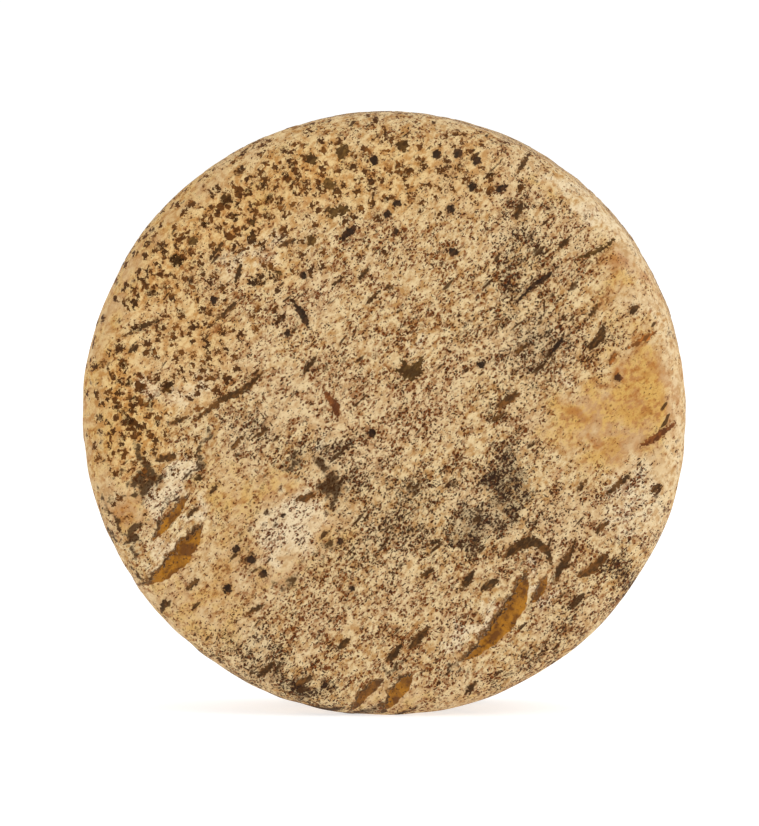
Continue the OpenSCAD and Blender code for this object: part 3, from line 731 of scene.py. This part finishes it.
def soap_ground(g, f):
    """The ground colour, and how free of specks each place is."""
    ground = g.mix(g.step(f.cloud, -0.16, 0.12), srgb(178, 134, 80), srgb(220, 194, 147))
    patch = g.noise(g.shift(f.mm, 3.1, 9.2, 0.7), 0.16, 2.0, 0.5)
    ground = g.mix(g.mul(g.step(patch, 0.42, 0.62), 0.3), ground, srgb(214, 187, 148))
    ochre = g.mix(g.step(f.cloud, -0.12, 0.1), srgb(190, 134, 66), srgb(222, 184, 118))
    ground = g.mix(g.mul(f.coarse, 0.75), ground, ochre)
    honeyed = g.step(g.add(f.honey, g.mul(f.cloud, 1.3), g.mul(f.clump, 1.8)), 0.0, 1.15)
    warm = g.mix(g.step(g.add(f.cloud, f.clump), -0.14, 0.12), srgb(166, 100, 34), srgb(204, 160, 84))
    ground = g.mix(g.mul(honeyed, 0.92), ground, warm)
    # pale cream, partly painted highlight on the hump, the ridges and the lips by the shards
    paleness_and_highlight = g.step(g.add(f.pale, g.mul(f.cloud, 1.6), g.mul(f.clump, 1.0)), 0.2, 1.0)
    ground = g.mix(g.mul(paleness_and_highlight, 0.72), ground, srgb(230, 210, 174))
    stain = g.step(g.add(g.mul(f.rust, 0.9), g.mul(f.clump, 1.6), g.mul(f.cloud, 1.6)), 0.28, 0.95)
    ground = g.mix(g.mul(stain, 0.68), ground, srgb(160, 92, 32))
    # fewer specks where honeyed or pale, and under the painted highlight of the shoulder
    return ground, g.most(g.mul(honeyed, 0.85), g.mul(paleness_and_highlight, 0.1), g.mul(f.clear, 0.6))


def fine_specks(g, f, colour, quiet):
    """Blurred brown mottle, then crisp red-brown and dark specks."""
    texture = g.noise(g.shift(f.drawn, 3.0, 13.0, 23.0), 2.6, 2.0, 0.6)
    at = g.add(0.57, g.mul(quiet, 0.15), g.mul(f.clump, -0.5), g.mul(f.coarse, 0.08))
    brown = g.mix(f.haze, srgb(132, 76, 32), srgb(98, 68, 40))
    colour = g.mix(g.mul(g.over(texture, at, 0.1), 0.7), colour, brown)

    sparse = g.add(g.mul(quiet, -0.45), g.mul(f.clump, 0.9), g.mul(f.coarse, -0.22))
    red, chance = g.dots(f.bent, 2.9, g.add(0.29, sparse))
    colour = g.mix(g.mul(red, 0.9), colour, g.mix(chance, srgb(132, 62, 14), srgb(92, 44, 12)))
    dark, _ = g.dots(g.shift(f.bent, 5.0, 8.0, 3.0), 3.9, g.add(0.24, sparse, g.mul(f.haze, 0.2)))
    return g.mix(g.mul(dark, 0.94), colour, srgb(58, 29, 10)), g.most(red, dark)


def dark_haze(g, f, colour, quiet):
    """Grey-brown haze with black flecks."""
    texture = g.noise(g.shift(f.drawn, 53.0, 21.0, 8.0), 3.4, 3.0, 0.7)
    at = g.add(0.73, g.mul(f.haze, -0.2), g.mul(f.clump, -0.5), g.mul(quiet, 0.1))
    black = g.over(texture, at, 0.06)
    colour = g.mix(g.step(f.haze, 0.45, 1.15, 0.0, 0.4), colour, srgb(84, 60, 40))
    return g.mix(g.mul(black, 0.95), colour, srgb(46, 29, 18)), black


def dashes(g, f, colour, quiet):
    """Short dark dashes along the diagonal."""
    texture = g.noise(g.shift(f.streak, 9.0, 2.0, 44.0), 1.0, 1.0, 0.5)
    at = g.add(0.715, g.mul(f.haze, -0.07), g.mul(f.clump, -0.25), g.mul(quiet, 0.08))
    dash = g.over(texture, at, 0.03)
    return g.mix(g.mul(dash, 0.93), colour, srgb(72, 46, 22)), dash


def veiled_grains(g, f, colour):
    """Coarse brown grains, seen through the skin."""
    lumps = g.warp(g.warp(g.shift(f.mm, 11.0, 41.0, 2.0), 1.1, 1.3), 3.2, 0.6)
    size = g.add(-0.66, g.mul(f.coarse, 1.0), g.mul(f.clump, 1.1))
    halo, _ = g.dots(lumps, 0.9, g.add(size, 0.07), 0.12, 0.5)
    grain, chance = g.dots(lumps, 0.9, size, 0.05, 0.5)
    colour = g.mix(g.mul(halo, 0.7), colour, srgb(140, 76, 28))
    return g.mix(g.mul(grain, 0.95), colour, g.mix(chance, srgb(72, 40, 12), srgb(92, 54, 18))), grain


def soap_group():
    """The marbled, speckled soap, with painted highlight and painted shade, as a node group that gives
    its colour and its height.
    """
    tree = bpy.data.node_groups.new("marbled_soap", "ShaderNodeTree")
    for name, kind in (("Color", "NodeSocketColor"), ("Height", "NodeSocketFloat")):
        tree.interface.new_socket(name=name, in_out="OUTPUT", socket_type=kind)
    g = Graph(tree)
    f = soap_fields(g)
    colour, quiet = soap_ground(g, f)
    colour, fine = fine_specks(g, f, colour, quiet)
    colour, black = dark_haze(g, f, colour, quiet)
    colour, dash = dashes(g, f, colour, quiet)
    colour, grain = veiled_grains(g, f, colour)

    # painted shade: darkening in the hollows, in a band round the hump and along the foot where the cake
    # meets the floor
    painted_shade_amount = g.step(g.add(f.painted_shade, g.mul(f.cloud, 2.6), g.mul(f.clump, 1.0)), 0.25, 0.8)
    colour = g.mix(g.mul(painted_shade_amount, 0.92), colour, srgb(64, 38, 14))

    specks = g.most(fine, black, grain)
    ridges = g.noise(f.streak, 0.7, 4.0, 0.6)
    out = tree.nodes.new("NodeGroupOutput")
    g.plug(out.inputs["Color"], colour)
    g.plug(out.inputs["Height"],
           g.add(g.mul(ridges, 2.4), g.mul(specks, -0.3), g.mul(f.cloud, 0.9), g.mul(dash, -0.5)))
    return tree


SHEEN = 0.06          # specular level of a dull, dry skin
AMBER_SHEEN = 0.18    # and of the glassier amber


def new_material(name):
    """A material with a principled shader, and the graph to build on."""
    mat = bpy.data.materials.new(name)
    mat.use_nodes = True
    tree = mat.node_tree
    tree.nodes.clear()
    g = Graph(tree)
    shader = tree.nodes.new("ShaderNodeBsdfPrincipled")
    output = tree.nodes.new("ShaderNodeOutputMaterial")
    tree.links.new(shader.outputs[0], output.inputs["Surface"])
    return mat, g, shader


def soap_in(g, group):
    """The colour and height of the soap, for a material to build on."""
    n = g.tree.nodes.new("ShaderNodeGroup")
    n.node_tree = group
    return n.outputs["Color"], n.outputs["Height"]


def bump(g, shader, height, strength, distance):
    """Roughens a shader by a height, distance metres deep."""
    n = g.node("ShaderNodeBump", Height=height)
    n.inputs["Strength"].default_value = strength
    n.inputs["Distance"].default_value = distance
    g.plug(shader.inputs["Normal"], n.outputs[0])


def soap_material(group):
    """The cake's own skin, a little shinier where its height is greater."""
    mat, g, shader = new_material("marbled_soap")
    colour, height = soap_in(g, group)
    g.plug(shader.inputs["Base Color"], colour)
    g.plug(shader.inputs["Roughness"], g.step(height, 0.7, 2.2, 0.62, 0.45))
    shader.inputs["Specular IOR Level"].default_value = SHEEN
    bump(g, shader, height, 0.8, 0.0003)
    return mat


def bit_material(name, group, dark, light, rough, bleed=0.1, rags=1.0):
    """Bark, seed or leaf set in the soap: its own colour inside a ragged edge, and soap outside it.

    bleed is how far in mm the colour runs out past the outline, rags how ragged its edge is."""
    mat, g, shader = new_material(name)
    colour, height = soap_in(g, group)
    mm, turned = places(g)
    rag = g.centred(g.noise(g.shift(mm, 2.0, 6.0, 9.0), 2.6, 2.0, 0.6))
    inner = g.add(g.attribute("inset").outputs["Fac"], bleed, g.mul(rag, rags))
    streak = g.noise(g.stretch(g.shift(turned, 4.0, 0.0, 3.0), 0.5, 1, 1), 2.2, 3.0, 0.6)
    own = g.mix(g.step(streak, 0.42, 0.68), dark, light)
    own = g.mix(1.0, own, g.attribute("tint").outputs["Color"], "MULTIPLY")
    rim = g.mix(0.5, own, srgb(140, 88, 44))
    colour = g.mix(g.mul(g.step(inner, -0.12, 0.05), 0.6), colour, rim)
    g.plug(shader.inputs["Base Color"], g.mix(g.mul(g.step(inner, -0.02, 0.1), 0.94), colour, own))
    shader.inputs["Roughness"].default_value = rough
    shader.inputs["Specular IOR Level"].default_value = SHEEN
    bump(g, shader, g.add(height, g.mul(streak, 0.5)), 0.5, 0.00025)
    return mat


def amber_material(group):
    """Clear amber soap at the foot of a chip, with the broken, speckled edge of the cake above it."""
    mat, g, shader = new_material("amber_soap")
    colour, height = soap_in(g, group)
    mm, turned = places(g)
    low, high, brown = g.split(g.attribute("zone").outputs["Color"])
    rag = g.centred(g.noise(g.shift(mm, 12.0, 3.0, 5.0), 1.9, 3.0, 0.6))

    # amber inside both edges, and crumbs on the step above it
    upper = g.step(g.add(high, g.mul(rag, 2.2)), 0.25, 0.5)
    cover = g.mul(g.step(g.add(low, g.mul(rag, 0.35)), -0.04, 0.08), upper)
    on_step = g.mul(g.step(g.add(high, g.mul(rag, 2.0)), -0.35, 0.1), g.step(low, -0.1, 0.3))
    crumbs = g.mul(on_step, g.math("SUBTRACT", 1.0, upper))

    # streaks and dots within the amber
    depth = g.noise(g.shift(turned, 1.0, 8.0, 4.0), 0.8, 3.0, 0.6, 0.4)
    glow = g.mix(g.step(depth, 0.36, 0.64), srgb(110, 64, 10), srgb(170, 112, 24))
    glow = g.mix(brown, glow, g.mix(g.step(depth, 0.4, 0.6), srgb(84, 52, 20), srgb(126, 78, 28)))
    dots = g.over(g.noise(g.shift(mm, 5.0, 15.0, 25.0), 2.6, 2.0, 0.6), 0.62, 0.03)
    glow = g.mix(g.mul(dots, 0.85), glow, srgb(74, 42, 14))

    colour = g.mix(cover, colour, glow)
    crumb = g.mix(g.step(rag, -0.08, 0.1), srgb(66, 42, 22), srgb(112, 74, 36))
    g.plug(shader.inputs["Base Color"], g.mix(g.mul(crumbs, 0.95), colour, crumb))
    g.plug(shader.inputs["Roughness"], g.step(cover, 0.0, 1.0, 0.5, 0.25))
    g.plug(shader.inputs["Specular IOR Level"], g.step(cover, 0.0, 1.0, SHEEN, AMBER_SHEEN))
    bump(g, shader, g.add(height, g.mul(depth, 0.8)), 0.4, 0.0002)
    return mat


# --------------------
# Inclusions
# --------------------
LIFT = 0.04           # how far an inclusion's skin lies over the cake's coarser one
SHARD_SKIRT = 0.9     # how far the broken skin reaches past a shard's outline
SHARD_REACH = 1.9     # how deep a shard's shell reaches under the skin
BIT_SKIRT = 0.3       # soap-coloured skin that runs out past an inclusion's outline
BIT_REACH = 0.6       # how deep its shell reaches
BIT_CELL = 0.13       # size of the mesh cells of an inclusion
GRAIN_CELL = 0.17     # and of the many small grains that only this script adds
BIT_LABELS = (("inset", 1), ("tint", 3))

OWN_TINTS = {
    "twig_edge_low": (1.25, 1.15, 1.0), "twig_forked": (0.9, 0.85, 0.8), "sliver_hump": (1.5, 1.3, 1.0),
    "sliver_soft_right": (1.4, 1.3, 1.2), "sliver_long_left": (1.2, 1.15, 1.0),
    "flake_top": (0.8, 0.75, 0.7),
}
SPREAD = 0.28         # how far the members of a group differ in lightness

# Inclusions of the front face that lie near these places are stained rust
RUSTY_PLACES = np.array([(27.0, 4.2), (26.6, 6.2), (29.8, 8.4)])
RUSTY_REACH = 1.2
RUSTY_TINT = (3.8, 3.0, 2.2)

# Coarse grains that stand out on the front face, as x, v, rx, rv, tilt, tint
BIG_GRAINS = [
    (-18, 25.2, 0.75, 0.9, 0, 1.0), (-23.7, 18, 0.75, 0.7, 40, 0.9), (-13.7, 26.7, 0.6, 0.75, 0, 0.7),
    (-22.3, 24.5, 0.6, 0.5, 0, 1.3), (-15, 20.7, 0.45, 0.85, -10, 0.55),
    (-13.8, 19.8, 0.3, 0.6, 0, 0.6), (-14.3, 15.9, 0.7, 0.6, 20, 0.5), (-12.7, 16, 0.6, 0.45, 0, 0.45),
    (-12.5, 21, 0.4, 0.4, 0, 0.7), (-24.8, 3.3, 0.7, 0.8, 0, 0.8), (-28.6, 10.2, 0.5, 0.4, 20, 0.8),
    (-31.2, 4.4, 0.5, 0.6, 0, 0.9), (-29.6, -0.8, 0.6, 0.5, 30, 0.9), (-26.6, 14.2, 0.55, 0.5, 0, 0.8),
    (-8.9, 26.1, 0.6, 0.5, 0, 0.9), (-3.4, 28.6, 0.55, 0.5, 0, 0.8), (-10.6, 29.2, 0.5, 0.6, 20, 0.8),
    (4.6, 28.8, 0.5, 0.45, 0, 0.7), (-20, 15.6, 0.5, 0.45, 0, 0.8), (-27.2, 7.3, 0.5, 0.45, 0, 0.75),
    (-12, 11.2, 0.8, 0.4, 30, 0.5), (-10.3, 13.3, 0.4, 0.35, 0, 0.45),
    (-14.9, 15.6, 0.6, 0.5, 30, 0.45),
]
SMALL_PITCH = 1.05         # the grid that small grains are scattered on
SMALL_SHAKE = 0.42         # how far they stray from it, as a share of the pitch
SMALL_R = (0.18, 0.6)
SMALL_TINT = (0.6, 1.3)
FULL_COARSE = 0.9          # coarseness of the mix at which every place of the grid has one
CLEARANCE = 0.5            # from every other inclusion


def bit_marks(tint):
    """What an inclusion of this tint stores: how far inside its outline a place is, and the tint."""
    def marks(u, w, inset):
        return np.concatenate([inset[..., None], np.broadcast_to(tint, inset.shape + (3,))], -1)
    return marks


def shard_piece(node, material):
    """An amber shard with the broken skin about it."""
    chip, pile = CHIPS[node], Pile()
    others = [c.ends for c in CHIPS.values() if c is not chip and c.back == chip.back]

    def marks(u, w, inset):
        return chip.zones(u, w)

    pile.patch(chip.ends, chip.back, SHARD_REACH, SHARD_SKIRT, BIT_CELL, marks, others)
    install(pile.build(node, (("zone", 3),)), node, material)


def small_grains(rng, taken, back):
    """Outlines of small grains scattered where the mix is coarse, clear of everything in taken."""
    limit = SHOULDER_END + (0 if back else 2 * (HALF_T - SHOULDER_R))
    n = int(limit / SMALL_PITCH) + 1
    i, j = np.meshgrid(np.arange(-n, n + 1), np.arange(-n, n + 1), indexing="ij")
    shake = rng.uniform(-SMALL_SHAKE, SMALL_SHAKE, (i.size, 2))
    places = SMALL_PITCH * (np.stack([i.ravel(), j.ravel()], -1) + shake)
    places = places[np.hypot(*places.T) < limit - 1]
    a, _ = marbling(skin(places[:, 0], places[:, 1], back))
    places = places[rng.uniform(0, FULL_COARSE, len(places)) < a[:, 2]]
    outlines = []
    for q in places:
        if np.linalg.norm(taken - q, axis=1).min() > CLEARANCE:
            rx, rv = rng.uniform(*SMALL_R, 2)
            outlines.append(ragged(*q, rx, rv, rng.uniform(0, 180), rng, 7))
    return outlines


def bit_materials(group):
    """The materials of the inclusions other than amber, by slot."""
    def bit(name, dark, light, *rest):
        return bit_material(name, group, srgb(*dark), srgb(*light), *rest)

    return {
        "bark": bit("bark", (58, 38, 18), (104, 68, 32), 0.6),
        "rust_bark": bit("rust_bark", (84, 44, 20), (128, 72, 32), 0.55),
        "olive_leaf": bit("olive_leaf", (64, 42, 16), (98, 70, 32), 0.6, 0.05, 1.6),
        "seed": bit("seed", (34, 22, 14), (70, 44, 24), 0.45, 0.08, 0.9),
        "coarse_grain": bit("coarse_grain", (68, 38, 12), (112, 68, 24), 0.5, 0.0, 2.0),
    }


def slots():
    """The slot of each inclusion's node. A later kind has its say over an earlier one."""
    kinds = {
        "bark": [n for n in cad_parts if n.startswith(("twig_", "sliver"))],
        "rust_bark": ["twig_edge_rust", "sliver_rust_centre"],
        "olive_leaf": ["flake_star", "flake_top", "flake_twin", "flakes_olive", "sliver_olive_right"],
        "seed": ["seed_black_right", "seed_black_upper", "seeds_small", "seeds_back", "sliver_curved",
                 "sliver_black_top", "sliver_black_right", "sliver_long_right"],
        "coarse_grain": ["grains_front", "grains_back"],
    }
    return {node: slot for slot, nodes in kinds.items() for node in nodes}


def occupied(outlines):
    """Points along and amid every outline on the front face and on the back."""
    taken = {back: [] for back in (False, True)}
    every = [solid for own in outlines.values() for solid in own]
    every += [(chip.ends, chip.back) for chip in CHIPS.values()]
    for ends, back in every:
        taken[back] += [ends.reshape(-1, 2), ends.mean((0, 1))[None]]
    return taken


def own_tint(node, ends, back, in_group, rng):
    """How much lighter or redder than its kind an inclusion is."""
    tint = np.array(OWN_TINTS.get(node, (1.0, 1.0, 1.0)))
    if in_group:
        tint = tint * rng.uniform(1 - SPREAD, 1 + SPREAD)
    if not back and np.linalg.norm(RUSTY_PLACES - ends.mean((0, 1)), axis=1).min() < RUSTY_REACH:
        tint = tint * RUSTY_TINT
    return tint


def extra_grains(back, taken, rng):
    """Grains that only this script adds to a face, each with its tint."""
    extra = []
    if not back:
        extra = [(ragged(*g[:5], rng), g[5]) for g in BIG_GRAINS]
        taken[back] += [ends.reshape(-1, 2) for ends, _ in extra]
    small = small_grains(rng, np.concatenate(taken[back]), back)
    return extra + [(ends, rng.uniform(*SMALL_TINT)) for ends in small]


def build_inclusions(group):
    """Every inclusion, as one piece for each CAD node."""
    amber = amber_material(group)
    for node in CHIPS:
        shard_piece(node, amber)

    materials, slot_of = bit_materials(group), slots()
    outlines = {node: solids(node) for node in slot_of}
    taken = occupied(outlines)
    rng = np.random.default_rng(7)
    for node, slot in slot_of.items():
        pile, own = Pile(), outlines[node]
        for ends, back in own:
            tint = own_tint(node, ends, back, len(own) > 1, rng)
            pile.patch(ends, back, BIT_REACH, BIT_SKIRT, BIT_CELL, bit_marks(tint))
        if slot == "coarse_grain":
            back = own[0][1]
            for ends, tint in extra_grains(back, taken, rng):
                pile.patch(ends, back, BIT_REACH, BIT_SKIRT, GRAIN_CELL, bit_marks(np.full(3, tint)))
        install(pile.build(node, BIT_LABELS), node, materials[slot])


# --------------------
# Floor, light and camera, in metres
# --------------------
CAMERA_TURN = 1.8          # degrees to the right of straight on
CAMERA_RISE = 3.0          # degrees up
CAMERA_AWAY = 0.8
VIEW_WIDE = 0.0875         # width of the picture at the cake
AIM = (-0.0004, 0.0004)    # from the middle of the face to the middle of the picture
SENSOR = 36                # mm
FLOOR_HALF = 1.5
FLOOR_TONE = 192           # a grey floor with a glow of its own: white, but soft in its shadow
FLOOR_GLOW = 0.66
KEY_TURN, KEY_RISE = 50, 40
KEY_AWAY, KEY_SIZE, KEY_POWER = 0.7, 0.3, 0.75


def direction(turn, rise):
    """From the cake towards a place turn degrees to the right of straight on and rise degrees up."""
    t, r = math.radians(turn), math.radians(rise)
    return Vector((math.sin(t) * math.cos(r), -math.cos(t) * math.cos(r), math.sin(r)))


def look_from(obj, turn, rise, away):
    """Stands a lamp or a camera away from the cake and aims it there."""
    centre = Vector((AIM[0], CAKE_LO.y, AXIS_Z * MM + AIM[1]))
    way = direction(turn, rise)
    obj.location = centre + way * away
    obj.rotation_euler = way.to_track_quat("Z", "Y").to_euler()
    bpy.context.scene.collection.objects.link(obj)


def studio_world():
    """Soft light from everywhere, white behind the cake, stronger from the sides, most from the right."""
    world = bpy.data.worlds.new("studio")
    world.use_nodes = True
    g = Graph(world.node_tree)
    way = g.node("ShaderNodeSeparateXYZ", Vector=g.node("ShaderNodeTexCoord").outputs["Generated"])
    right, behind = way.outputs[0], way.outputs[1]
    sideways = g.math("ABSOLUTE", right)
    side = g.add(g.step(right, -0.8, 0.8, -0.06, 0.06), g.step(sideways, 0.2, 0.9, 0.84, 1.25))
    light = g.math("MAXIMUM", side, g.step(behind, 0.9, 0.97, 0.0, 1.05))
    g.plug(world.node_tree.nodes["Background"].inputs["Strength"], light)
    world.node_tree.nodes["Background"].inputs["Color"].default_value = (1, 1, 1, 1)
    return world


def build_floor():
    """A wide pale floor."""
    mesh = bpy.data.meshes.new("floor")
    corners = [(a * FLOOR_HALF, b * FLOOR_HALF, 0) for a, b in ((-1, -1), (1, -1), (1, 1), (-1, 1))]
    mesh.from_pydata(corners, [], [(0, 1, 2, 3)])
    floor = bpy.data.objects.new("floor", mesh)
    bpy.context.scene.collection.objects.link(floor)
    mat, _, shader = new_material("floor_white")
    shader.inputs["Base Color"].default_value = srgb(FLOOR_TONE, FLOOR_TONE, FLOOR_TONE)
    shader.inputs["Roughness"].default_value = 0.8
    shader.inputs["Emission Color"].default_value = (1, 1, 1, 1)
    shader.inputs["Emission Strength"].default_value = FLOOR_GLOW
    floor.data.materials.append(mat)


def build_studio():
    """The floor, the light and the camera."""
    scene = bpy.context.scene
    build_floor()
    scene.world = studio_world()
    light = bpy.data.lights.new("key", "AREA")
    light.size, light.energy = KEY_SIZE, KEY_POWER
    look_from(bpy.data.objects.new("key", light), KEY_TURN, KEY_RISE, KEY_AWAY)

    data = bpy.data.cameras.new("camera")
    data.sensor_fit, data.sensor_width = "HORIZONTAL", SENSOR
    data.lens = SENSOR * CAMERA_AWAY / VIEW_WIDE
    camera = bpy.data.objects.new("camera", data)
    look_from(camera, CAMERA_TURN, CAMERA_RISE, CAMERA_AWAY)
    scene.camera = camera
    scene.view_settings.view_transform = "Standard"


soap = soap_group()
install(cake_mesh(), "soap_cake", soap_material(soap))
build_inclusions(soap)
build_studio()
